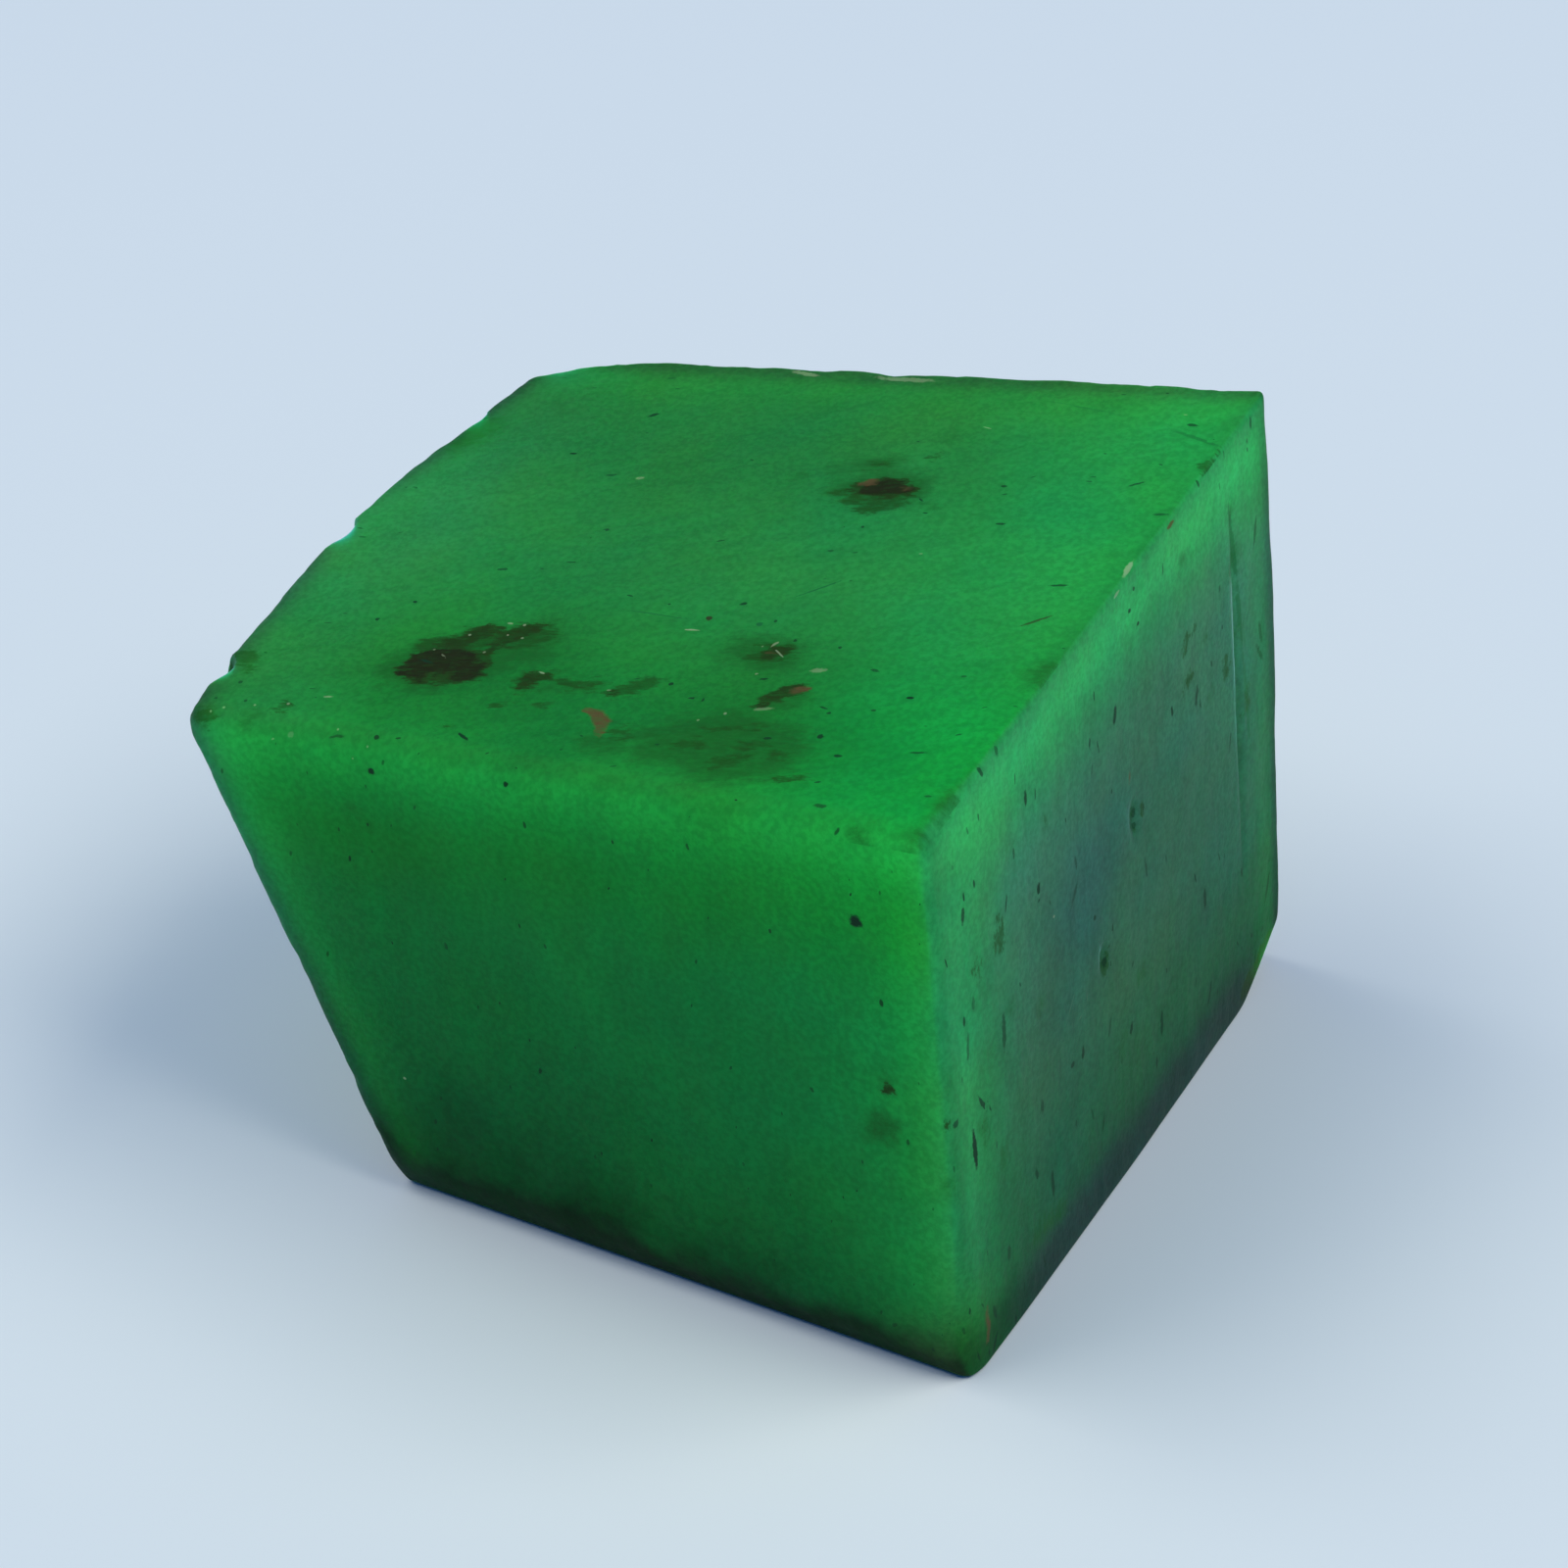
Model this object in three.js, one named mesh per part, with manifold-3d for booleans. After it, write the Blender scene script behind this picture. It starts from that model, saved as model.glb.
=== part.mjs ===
// A raw emerald: one sawn and tumbled block of milky green beryl.
//
// Millimetres, +Z up. The origin is on the surface that the block rests on, under the middle of its
// bounding box. Front is -Y and right is +X. The block is six sawn faces that meet out of square:
// the top falls to the left, the left side overhangs and folds once, and every edge is worn round.

import Module from 'manifold-3d';
import * as THREE from 'three';
import { mergeVertices } from 'three/addons/utils/BufferGeometryUtils.js';

const point = (x, y, z) => new THREE.Vector3(x, y, z);

// Where the sawn faces would meet if no edge were worn.
const CORNERS = {
  frontLeftFoot: point(-5.6, -10.3, 0),
  frontRightFoot: point(11.9, -10.33, 0),
  backRightFoot: point(11.86, 10.4, 0),
  backLeftFoot: point(-4.3, 8, 0),
  frontLeftTop: point(-11.65, -10.2, 13.95),
  frontRightTop: point(10.47, -10.18, 17.24),
  backRightTop: point(10.86, 9.6, 19.3),
  backLeftTop: point(-10.25, 7.15, 15.72),
  leftFoldTop: point(-12, -0.95, 14.62),
};

// A point well inside, from which every part of the surface is in plain sight.
const HEART = point(1, -0.6, 8.6);

// How far along the top left edge its fold lies, from front to back.
const FOLD_PLACE = 0.55;

// Flat strips worn along the edges and a broken corner, each through three of its points.
const STRIPS = {
  rightFaceTop: [point(10.2, -7.5, 17.5), point(10.8, 6.7, 18.95), point(10.74, -2, 16)],
  rightFaceFront: [point(11.8, -10.15, 1), point(10.25, -10.15, 17), point(11.12, -8.2, 9)],
  rightFaceFoot: [point(11.88, -9, 0), point(11.8, 9, 0), point(11.88, 0, 0.95)],
  frontFaceFoot: [point(-5, -9.8, 0), point(11, -9.82, 0), point(3, -10.3, 1.15)],
  backLeftEdge: [point(-10.2, 6.5, 15.67), point(-7.3, 7.5, 16.19), point(-4.2, 7.1, 2)],
  backRightChip: [point(11.85, 10.3, 1.55), point(11.78, 7.8, 0), point(9.9, 10.3, 0)],
};

// Small losses from the worn block. Each is an ellipsoid bite with two ends and a half width.
const LOSSES = {
  leftCornerNotch: { from: point(-11.85, -8.9, 14.1), to: point(-11.75, -7.5, 14.3), halfWidth: 0.72 },
  leftFoldStep: { from: point(-11.95, -2.6, 14.5), to: point(-11.85, -1.2, 14.8), halfWidth: 0.62 },
  leftBackNick: { from: point(-10.9, 3.4, 15), to: point(-10.8, 4.3, 15.4), halfWidth: 0.4 },
  backEdgeNick: { from: point(-3.2, 8.3, 17.2), to: point(-1.6, 8.5, 17.6), halfWidth: 0.42 },
  backEdgeFlake: { from: point(-0.8, 8.6, 17.6), to: point(1.9, 8.8, 18.2), halfWidth: 0.5 },
  creaseNickBack: { from: point(10.6, 3, 18.5), to: point(10.5, 3.8, 18.8), halfWidth: 0.24 },
  creaseNickMiddle: { from: point(10.5, 0.6, 18.2), to: point(10.4, 1.5, 18.7), halfWidth: 0.26 },
  creaseNickFront: { from: point(10.5, -0.3, 18.1), to: point(10.4, 0.3, 18.5), halfWidth: 0.2 },
  middleRightPit: { from: point(11.1, -1.5, 8.5), to: point(11.2, -1.6, 7.5), halfWidth: 0.2 },
  upperRightPit: { from: point(10.85, 0.5, 11.8), to: point(10.97, 0.6, 10.4), halfWidth: 0.18 },
  rightFaceGroove: { from: point(10.45, 6.85, 19.6), to: point(11.84, 7.55, 2.6), halfWidth: 0.2 },
};

// Facets of each bite: times that each side of a twenty-faced ball is parted.
const BITE_DETAIL = 1;

// Radii of wear, from the crisp crease beside the top to the soft roll over its front edge
// and the round corner at the front right of the foot.
const WEAR = {
  rightStrips: 1.2,
  leftFold: 1,
  backStrip: 0.4,
  backRight: 0.45,
  left: 0.5,
  front: 0.55,
  cornerFootExtra: 0.8,
  topCrease: 0.22,
  topFrontExtra: 0.6,
  topLeftExtra: 0.35,
  frontFoot: 0.25,
  rightFoot: 0.2,
  chip: 0.35,
  foot: 0.22,
};

// The top's edge softens from these lines towards the front and the left, and the front edge
// softens towards the foot and the right, over this distance.
const SOFT_FRONT_START = -7;
const SOFT_LEFT_START = -8;
const SOFT_FOOT_START = 4.5;
const SOFT_RIGHT_START = 7;
const SOFT_RUN = 2.5;

// Heights of the long and the short swells that tumbling left on the sawn faces.
const LONG_SWELL = 0.02;
const SHORT_SWELL = 0.015;
const TOP_SWELL_SHARE = 0.6;
const CHIP_SWELL_SHARE = 2;

// Steps of the surface grid along each edge, and how strongly they gather at the edges.
const GRID_STEPS = 26;
const GRID_GATHER = 0.7;

// The search along each ray ends far below this rounding, a thousandth of a millimetre.
const SEARCH_STEPS = 40;
const SEARCH_REACH = [0.3, 1.6];
const ROUNDING = 0.001;

function facePlane(a, b, c) {
  const plane = new THREE.Plane().setFromCoplanarPoints(a, b, c);
  return plane.distanceToPoint(HEART) > 0 ? plane.negate() : plane;
}

const FACES = {
  front: facePlane(CORNERS.frontLeftFoot, CORNERS.frontRightFoot, CORNERS.frontRightTop),
  right: facePlane(CORNERS.frontRightFoot, CORNERS.backRightFoot, CORNERS.backRightTop),
  back: facePlane(CORNERS.backRightTop, CORNERS.backLeftTop, CORNERS.backRightFoot),
  leftFront: facePlane(CORNERS.frontLeftTop, CORNERS.frontLeftFoot, CORNERS.leftFoldTop),
  leftBack: facePlane(CORNERS.leftFoldTop, CORNERS.backLeftTop, CORNERS.backLeftFoot),
  top: facePlane(CORNERS.frontLeftTop, CORNERS.frontRightTop, CORNERS.backRightTop),
  bottom: facePlane(CORNERS.frontLeftFoot, CORNERS.frontRightFoot, CORNERS.backRightFoot),
};

for (const [name, points] of Object.entries(STRIPS)) {
  FACES[name] = facePlane(...points);
}

// Where two faces meet, the inside of both, with the edge worn to a radius.
function worn(first, second, radius) {
  const u = Math.max(first + radius, 0);
  const v = Math.max(second + radius, 0);
  return Math.min(-radius, Math.max(first, second)) + Math.hypot(u, v);
}

function swell({ x, y, z }) {
  const long = Math.sin(0.83 * x + 0.31 * y + 0.9) * Math.cos(0.55 * y - 0.72 * z);
  const short = Math.sin(1.9 * x + 1.1 * z) * Math.sin(1.7 * y - 0.8 * z + 1.2);
  return LONG_SWELL * long + SHORT_SWELL * short;
}

// Below zero inside the stone, zero on its surface and above zero outside.
function depth(place) {
  const height = (name) => FACES[name].distanceToPoint(place);
  const wave = swell(place);
  const rightTop = worn(height('right'), height('rightFaceTop'), WEAR.rightStrips);
  const right = worn(rightTop, height('rightFaceFront'), WEAR.rightStrips) + wave;
  const left = worn(height('leftFront'), height('leftBack'), WEAR.leftFold) + wave;
  const back = worn(height('back') + wave, height('backLeftEdge') + wave, WEAR.backStrip);

  const softness = (start, value) => THREE.MathUtils.clamp((start - value) / SOFT_RUN, 0, 1);
  const footWear = WEAR.cornerFootExtra * softness(SOFT_FOOT_START, place.z);
  const edgeWear = WEAR.front + footWear * softness(-SOFT_RIGHT_START, -place.x);

  let stone = worn(right, back, WEAR.backRight);
  stone = worn(stone, left, WEAR.left);
  stone = worn(stone, height('front') + wave, edgeWear);

  const frontWear = WEAR.topFrontExtra * softness(SOFT_FRONT_START, place.y);
  const leftWear = WEAR.topLeftExtra * softness(SOFT_LEFT_START, place.x);
  const topWear = WEAR.topCrease + Math.max(frontWear, leftWear);
  stone = worn(stone, height('top') + TOP_SWELL_SHARE * wave, topWear);

  stone = worn(stone, height('frontFaceFoot'), WEAR.frontFoot);
  stone = worn(stone, height('rightFaceFoot'), WEAR.rightFoot);
  stone = worn(stone, height('backRightChip') + CHIP_SWELL_SHARE * wave, WEAR.chip);
  return worn(stone, height('bottom'), WEAR.foot);
}

// Shares from 0 to 1 along an edge, closer together at both ends.
function gatheredShare(step) {
  const even = step / GRID_STEPS;
  return even - GRID_GATHER / (2 * Math.PI) * Math.sin(2 * Math.PI * even);
}

// The place in the unworn block at three shares: left to right, front to back and foot to top.
function placeInBlock(across, back, up) {
  const between = (a, b, share) => new THREE.Vector3().lerpVectors(a, b, share);
  const frontFoot = between(CORNERS.frontLeftFoot, CORNERS.frontRightFoot, across);
  const backFoot = between(CORNERS.backLeftFoot, CORNERS.backRightFoot, across);
  const frontTop = between(CORNERS.frontLeftTop, CORNERS.frontRightTop, across);
  const backTop = between(CORNERS.backLeftTop, CORNERS.backRightTop, across);
  const foot = between(frontFoot, backFoot, back);
  const top = between(frontTop, backTop, back);

  const straight = between(CORNERS.frontLeftTop, CORNERS.backLeftTop, FOLD_PLACE);
  const fold = CORNERS.leftFoldTop.clone().sub(straight);
  const foldShare = back < FOLD_PLACE ? back / FOLD_PLACE : (1 - back) / (1 - FOLD_PLACE);
  return between(foot, top, up).addScaledVector(fold, (1 - across) * foldShare * up);
}

// The surface on the ray from the heart through a place, found by halving.
function onSurface(place) {
  const ray = place.clone().sub(HEART);
  let [inside, outside] = SEARCH_REACH;
  for (let step = 0; step < SEARCH_STEPS; step += 1) {
    const middle = (inside + outside) / 2;
    if (depth(HEART.clone().addScaledVector(ray, middle)) < 0) {
      inside = middle;
    } else {
      outside = middle;
    }
  }
  const found = HEART.clone().addScaledVector(ray, inside);
  return found.divideScalar(ROUNDING).round().multiplyScalar(ROUNDING);
}

// A closed grid over the six sides of the block, with shared points along the edges.
function blockGeometry() {
  const positions = [];
  const indices = [];
  const known = new Map();

  function vertex(steps) {
    const key = steps.join();
    if (!known.has(key)) {
      known.set(key, positions.length / 3);
      positions.push(...onSurface(placeInBlock(...steps.map(gatheredShare))));
    }
    return known.get(key);
  }

  for (const axis of [0, 1, 2]) {
    for (const side of [0, GRID_STEPS]) {
      const corner = (u, v) => {
        const steps = [];
        steps[axis] = side;
        steps[(axis + 1) % 3] = u;
        steps[(axis + 2) % 3] = v;
        return vertex(steps);
      };
      for (let u = 0; u < GRID_STEPS; u += 1) {
        for (let v = 0; v < GRID_STEPS; v += 1) {
          const loop = [corner(u, v), corner(u + 1, v), corner(u + 1, v + 1), corner(u, v + 1)];
          const [a, b, c, d] = side === 0 ? loop.reverse() : loop;
          indices.push(a, b, c, a, c, d);
        }
      }
    }
  }

  const geometry = new THREE.BufferGeometry();
  geometry.setAttribute('position', new THREE.Float32BufferAttribute(positions, 3));
  geometry.setIndex(indices);
  return geometry;
}

// An ellipsoid along the line between its two ends.
function biteGeometry({ from, to, halfWidth }) {
  const run = to.clone().sub(from);
  const middle = from.clone().lerp(to, 0.5);
  const bite = new THREE.IcosahedronGeometry(1, BITE_DETAIL);
  bite.deleteAttribute('normal');
  bite.deleteAttribute('uv');
  bite.scale(halfWidth, halfWidth, run.length() / 2);
  bite.lookAt(run);
  bite.translate(...middle);
  return mergeVertices(bite);
}

const wasm = await Module();
wasm.setup();

function solid(geometry) {
  return new wasm.Manifold(new wasm.Mesh({
    numProp: 3,
    vertProperties: geometry.attributes.position.array,
    triVerts: new Uint32Array(geometry.index.array),
  }));
}

// The worn block less its losses, moved so that its box is centred over the origin.
function stoneGeometry() {
  let stone = solid(blockGeometry());
  for (const loss of Object.values(LOSSES)) {
    stone = stone.subtract(solid(biteGeometry(loss)));
  }
  const { vertProperties, triVerts } = stone.getMesh();

  const geometry = new THREE.BufferGeometry();
  geometry.setAttribute('position', new THREE.BufferAttribute(vertProperties, 3));
  geometry.setIndex(new THREE.BufferAttribute(triVerts, 1));
  geometry.computeBoundingBox();
  const middle = geometry.boundingBox.getCenter(new THREE.Vector3());
  geometry.translate(-middle.x, -middle.y, 0);
  geometry.computeVertexNormals();
  return geometry;
}

const emeraldMaterial = new THREE.MeshStandardMaterial({
  color: 0x1f7a3c,
  roughness: 0.45,
  metalness: 0,
});

const emerald = new THREE.Mesh(stoneGeometry(), emeraldMaterial);
emerald.name = 'emerald';

const group = new THREE.Group();
group.add(emerald);

export default group;
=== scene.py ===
"""The raw emerald: a sawn and tumbled block of milky green beryl on a plain pale floor."""

import math

import bpy
import numpy as np
from mathutils import Matrix, Vector, noise
from numpy.linalg import norm


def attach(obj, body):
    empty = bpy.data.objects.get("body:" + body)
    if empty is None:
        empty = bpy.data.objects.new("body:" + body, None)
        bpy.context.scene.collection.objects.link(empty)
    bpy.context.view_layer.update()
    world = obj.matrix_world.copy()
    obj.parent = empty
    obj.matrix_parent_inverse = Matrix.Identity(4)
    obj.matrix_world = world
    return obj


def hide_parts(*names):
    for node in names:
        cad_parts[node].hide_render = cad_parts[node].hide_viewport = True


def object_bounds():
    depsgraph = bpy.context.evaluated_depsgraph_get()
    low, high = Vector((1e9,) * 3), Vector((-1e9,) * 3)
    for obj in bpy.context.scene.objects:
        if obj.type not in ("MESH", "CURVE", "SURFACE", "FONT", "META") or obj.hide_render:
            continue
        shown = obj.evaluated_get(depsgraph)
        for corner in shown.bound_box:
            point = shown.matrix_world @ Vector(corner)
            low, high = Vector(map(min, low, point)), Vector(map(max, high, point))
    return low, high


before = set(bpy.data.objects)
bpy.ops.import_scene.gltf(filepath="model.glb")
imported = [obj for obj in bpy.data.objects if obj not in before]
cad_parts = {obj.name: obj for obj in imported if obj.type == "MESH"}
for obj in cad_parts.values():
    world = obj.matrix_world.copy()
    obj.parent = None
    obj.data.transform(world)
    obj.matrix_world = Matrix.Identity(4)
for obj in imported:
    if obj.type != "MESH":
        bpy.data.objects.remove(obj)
CAD_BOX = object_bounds()

# ---- The shape. Lengths here are millimetres in the block's own frame, as in the CAD part.

MM = 0.001

# Where the sawn faces would meet if no edge were worn.
CORNERS = {
    "front_left_foot": (-5.6, -10.3, 0),
    "front_right_foot": (11.9, -10.33, 0),
    "back_right_foot": (11.86, 10.4, 0),
    "back_left_foot": (-4.3, 8, 0),
    "front_left_top": (-11.65, -10.2, 13.95),
    "front_right_top": (10.47, -10.18, 17.24),
    "back_right_top": (10.86, 9.6, 19.3),
    "back_left_top": (-10.25, 7.15, 15.72),
    "left_fold_top": (-12, -0.95, 14.62),
}
CORNERS = {name: np.array(place, float) for name, place in CORNERS.items()}
HEART = np.array((1, -0.6, 8.6))
FOLD_PLACE = 0.55

FACE_CORNERS = {
    "front": ("front_left_foot", "front_right_foot", "front_right_top"),
    "right": ("front_right_foot", "back_right_foot", "back_right_top"),
    "back": ("back_right_top", "back_left_top", "back_right_foot"),
    "left_front": ("front_left_top", "front_left_foot", "left_fold_top"),
    "left_back": ("left_fold_top", "back_left_top", "back_left_foot"),
    "top": ("front_left_top", "front_right_top", "back_right_top"),
    "bottom": ("front_left_foot", "front_right_foot", "back_right_foot"),
}

# Flat strips worn along the edges and a broken corner, each through three of its points.
STRIPS = {
    "right_face_top": ((10.2, -7.5, 17.5), (10.8, 6.7, 18.95), (10.74, -2, 16)),
    "right_face_front": ((11.8, -10.15, 1), (10.25, -10.15, 17), (11.12, -8.2, 9)),
    "right_face_foot": ((11.88, -9, 0), (11.8, 9, 0), (11.88, 0, 0.95)),
    "front_face_foot": ((-5, -9.8, 0), (11, -9.82, 0), (3, -10.3, 1.15)),
    "back_left_edge": ((-10.2, 6.5, 15.67), (-7.3, 7.5, 16.19), (-4.2, 7.1, 2)),
    "back_right_chip": ((11.85, 10.3, 1.55), (11.78, 7.8, 0), (9.9, 10.3, 0)),
}

# Small losses from the worn block: the two ends and the half width of each bite.
LOSSES = {
    "left_corner_notch": ((-11.85, -8.9, 14.1), (-11.75, -7.5, 14.3), 0.72),
    "left_fold_step": ((-11.95, -2.6, 14.5), (-11.85, -1.2, 14.8), 0.62),
    "left_back_nick": ((-10.9, 3.4, 15), (-10.8, 4.3, 15.4), 0.4),
    "back_edge_nick": ((-3.2, 8.3, 17.2), (-1.6, 8.5, 17.6), 0.42),
    "back_edge_flake": ((-0.8, 8.6, 17.6), (1.9, 8.8, 18.2), 0.5),
    "crease_nick_back": ((10.6, 3, 18.5), (10.5, 3.8, 18.8), 0.24),
    "crease_nick_middle": ((10.5, 0.6, 18.2), (10.4, 1.5, 18.7), 0.26),
    "crease_nick_front": ((10.5, -0.3, 18.1), (10.4, 0.3, 18.5), 0.2),
    "middle_right_pit": ((11.1, -1.5, 8.5), (11.2, -1.6, 7.5), 0.2),
    "upper_right_pit": ((10.85, 0.5, 11.8), (10.97, 0.6, 10.4), 0.18),
    "right_face_groove": ((10.45, 6.85, 19.6), (11.84, 7.55, 2.6), 0.2),
}
BITE_EDGE = 0.06

# Radii of wear where faces meet.
WEAR = {
    "right_strips": 1.2,
    "left_fold": 1,
    "back_strip": 0.4,
    "back_right": 0.45,
    "left": 0.5,
    "front": 0.55,
    "corner_foot_extra": 0.8,
    "top_crease": 0.22,
    "top_front_extra": 0.6,
    "top_left_extra": 0.35,
    "front_foot": 0.25,
    "right_foot": 0.2,
    "chip": 0.35,
    "foot": 0.22,
}
SOFT_FRONT_START = -7
SOFT_LEFT_START = -8
SOFT_FOOT_START = 4.5
SOFT_RIGHT_START = 7
SOFT_RUN = 2.5

LONG_SWELL = 0.02
SHORT_SWELL = 0.015
TOP_SWELL_SHARE = 0.6
CHIP_SWELL_SHARE = 2

GRID_STEPS = 128
GRID_GATHER = 0.35
SEARCH_STEPS = 30
SEARCH_REACH = (0.3, 1.6)


def face_plane(a, b, c):
    """The outward normal and the distance from the origin of the plane through three points."""
    normal = np.cross(np.subtract(b, a), np.subtract(c, a))
    normal /= norm(normal)
    distance = normal @ np.array(a)
    return (-normal, -distance) if normal @ HEART > distance else (normal, distance)


FACES = {name: face_plane(*(CORNERS[c] for c in corners)) for name, corners in FACE_CORNERS.items()}
FACES.update({name: face_plane(*points) for name, points in STRIPS.items()})


def height(places, face):
    """How far each place stands outside a face."""
    normal, distance = FACES[face]
    return places @ normal - distance


def worn(first, second, radius):
    """Where two faces meet: the inside of both, with the edge worn to a radius."""
    u = np.maximum(first + radius, 0)
    v = np.maximum(second + radius, 0)
    return np.minimum(-radius, np.maximum(first, second)) + np.hypot(u, v)


def swell(places):
    """The long and the short swells that tumbling left on the sawn faces."""
    x, y, z = places.T
    long = np.sin(0.83 * x + 0.31 * y + 0.9) * np.cos(0.55 * y - 0.72 * z)
    short = np.sin(1.9 * x + 1.1 * z) * np.sin(1.7 * y - 0.8 * z + 1.2)
    return LONG_SWELL * long + SHORT_SWELL * short


def bite(places, start, end, half_width):
    """How far each place lies inside an ellipsoid bite along the line from start to end."""
    start, end = np.array(start), np.array(end)
    middle = (start + end) / 2
    half_length = norm(end - start) / 2
    along = (end - start) / (2 * half_length)
    offset = places - middle
    run = offset @ along
    aside = norm(offset - run[:, None] * along, axis=1)
    return half_width * (1 - np.hypot(run / half_length, aside / half_width))


def softness(start, values):
    """Zero above the start, rising to one as the values fall below it by the soft run."""
    return np.clip((start - values) / SOFT_RUN, 0, 1)


def depth(places):
    """Below zero inside the stone, zero on its surface and above zero outside."""
    x, y, z = places.T
    wave = swell(places)

    def out(face):
        return height(places, face)

    right = worn(out("right"), out("right_face_top"), WEAR["right_strips"])
    right = worn(right, out("right_face_front"), WEAR["right_strips"]) + wave
    left = worn(out("left_front"), out("left_back"), WEAR["left_fold"]) + wave
    back = worn(out("back"), out("back_left_edge"), WEAR["back_strip"]) + wave

    stone = worn(right, back, WEAR["back_right"])
    stone = worn(stone, left, WEAR["left"])
    corner = softness(SOFT_FOOT_START, z) * softness(-SOFT_RIGHT_START, -x)
    edge_wear = WEAR["front"] + WEAR["corner_foot_extra"] * corner
    stone = worn(stone, out("front") + wave, edge_wear)

    extra = np.maximum(WEAR["top_front_extra"] * softness(SOFT_FRONT_START, y),
                       WEAR["top_left_extra"] * softness(SOFT_LEFT_START, x))
    top = out("top") + TOP_SWELL_SHARE * wave
    stone = worn(stone, top, WEAR["top_crease"] + extra)

    stone = worn(stone, out("front_face_foot"), WEAR["front_foot"])
    stone = worn(stone, out("right_face_foot"), WEAR["right_foot"])
    chip = out("back_right_chip") + CHIP_SWELL_SHARE * wave
    stone = worn(stone, chip, WEAR["chip"])
    for start, end, half_width in LOSSES.values():
        stone = worn(stone, bite(places, start, end, half_width), BITE_EDGE)
    return worn(stone, out("bottom"), WEAR["foot"])


def place_in_block(across, back, up):
    """Places in the unworn block: left to right, front to back and foot to top."""
    across, back, up = across[:, None], back[:, None], up[:, None]

    def between(a, b, share):
        return (1 - share) * a + share * b

    def edge(side, level):
        return between(CORNERS[f"{side}_left_{level}"], CORNERS[f"{side}_right_{level}"], across)

    foot, top = (between(edge("front", at), edge("back", at), back) for at in ("foot", "top"))
    block = between(foot, top, up)
    straight = between(CORNERS["front_left_top"], CORNERS["back_left_top"], FOLD_PLACE)
    fold_share = np.where(back < FOLD_PLACE, back / FOLD_PLACE, (1 - back) / (1 - FOLD_PLACE))
    return block + (1 - across) * fold_share * up * (CORNERS["left_fold_top"] - straight)


def cube_grid(steps):
    """The lattice points on the six sides of a cube, and quads that face out."""
    lattice = np.stack(np.meshgrid(*[np.arange(steps + 1)] * 3, indexing="ij"), axis=-1)
    on_side = ((lattice == 0) | (lattice == steps)).any(axis=-1)
    number = np.cumsum(on_side).reshape(on_side.shape) - 1
    quads = []
    for axis in range(3):
        for side in (0, steps):
            sheet = number.take(side, axis=axis)
            loop = [sheet[:-1, :-1], sheet[1:, :-1], sheet[1:, 1:], sheet[:-1, 1:]]
            if (side == steps) == (axis == 1):
                loop.reverse()
            quads.append(np.stack(loop, axis=-1).reshape(-1, 4))
    return lattice[on_side], np.concatenate(quads)


def surface_points(places):
    """The points of the surface on the rays from the heart through the places."""
    rays = places - HEART
    inside = np.full(len(rays), SEARCH_REACH[0])
    outside = np.full(len(rays), SEARCH_REACH[1])
    for _ in range(SEARCH_STEPS):
        middle = (inside + outside) / 2
        within = depth(HEART + middle[:, None] * rays) < 0
        inside = np.where(within, middle, inside)
        outside = np.where(within, outside, middle)
    return HEART + inside[:, None] * rays


# ---- The colour of the body, with light and shade painted in. The stone is milky, so painted
# light makes it lighter along its upper edges, where the light comes through, and painted shade
# makes it darker in the middle of its sides and at its foot.

DARKEST_TONE = 0.012
FACE_SHARPNESS = 6
CLOUD_SEED = 5
CLOUD_SCALE = 0.25
CLOUD_TONE = 0.07
CLOUD_HUE = np.array((0.25, 0, -0.15))

# Soft patches of each side: the middle, the size and the change of tone.
TOP_PATCHES = (
    ((9, -7, 17.4), 1.6, 0.04),
    ((-1.3, -9.6, 15.3), 1.3, -0.05),
    ((6.6, 7.9, 18.5), 0.8, -0.05),
    ((3, -5, 16.6), 2.2, -0.04),
    ((-3.2, -5.5, 15.5), 1.6, -0.05),
    ((3.5, -0.5, 17.2), 3, 0.02),
    ((-2.5, -1, 15.8), 2.5, -0.02),
)
FRONT_PATCHES = (
    ((9.8, -10.2, 4), 1.8, 0.04),
    ((10.2, -10.2, 15.5), 1.3, -0.08),
    ((-3.2, -10.2, 3.4), 2, -0.045),
    ((4, -9.9, 16.1), 0.9, -0.06),
    ((-5.7, -10.2, 12.5), 1.8, -0.035),
    ((0.6, -10.2, 2.1), 1.6, -0.04),
    ((7.5, -10.2, 3), 2.2, -0.025),
)
RIGHT_PATCHES = (((10.4, -9.7, 15.8), 1.2, -0.12),)
# Patches that differ in hue or dullness: the middle and the size.
# Painted light that comes through the thin foot of the front and warms it.
WARM_FOOT_GLOW = ((10.5, -10.1, 0.6), 1.3)
GREEN_FOOT = ((10.8, -9.8, 1), 1.6)
# A painted sheen: a greyer, bluer patch in the middle of the right face.
SHEEN_PATCH = ((10.9, -2.3, 10.8), 2.1)
DULL_CORNER = ((-11.3, -9.3, 13.6), 1.3)
DULLNESS = 0.3


def fade(distance, run, power=1):
    """One at an edge, falling off over a run of millimetres."""
    return np.exp(-(np.maximum(distance, 0) / run) ** power)


def rise(value, start, end):
    """Zero before the start, one after the end and smooth between them."""
    share = np.clip((value - start) / (end - start), 0, 1)
    return share * share * (3 - 2 * share)


def spot(places, middle, size):
    """A soft round patch about a place."""
    return np.exp(-(((places - np.array(middle)) / size) ** 2).sum(axis=1))


def patches(places, rows):
    """The change of tone that the soft patches of a side make."""
    return sum(change * spot(places, middle, size) for middle, size, change in rows)


def clouds(places, scale, octaves=3):
    """Smooth random vectors, mostly between -1 and 1, that change over 1 / scale millimetres."""
    field = np.zeros_like(places)
    for octave in range(octaves):
        finer = 2 ** octave
        steps = [noise.noise_vector(step) for step in (places * scale * finer).tolist()]
        field += np.array(steps) / finer
    return field


def milk(tone, red, blue):
    """The colour of a tone of green with its shares of red and blue."""
    tone = np.maximum(tone, DARKEST_TONE)
    return np.stack((tone * red, tone, tone * blue), axis=1)


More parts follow.
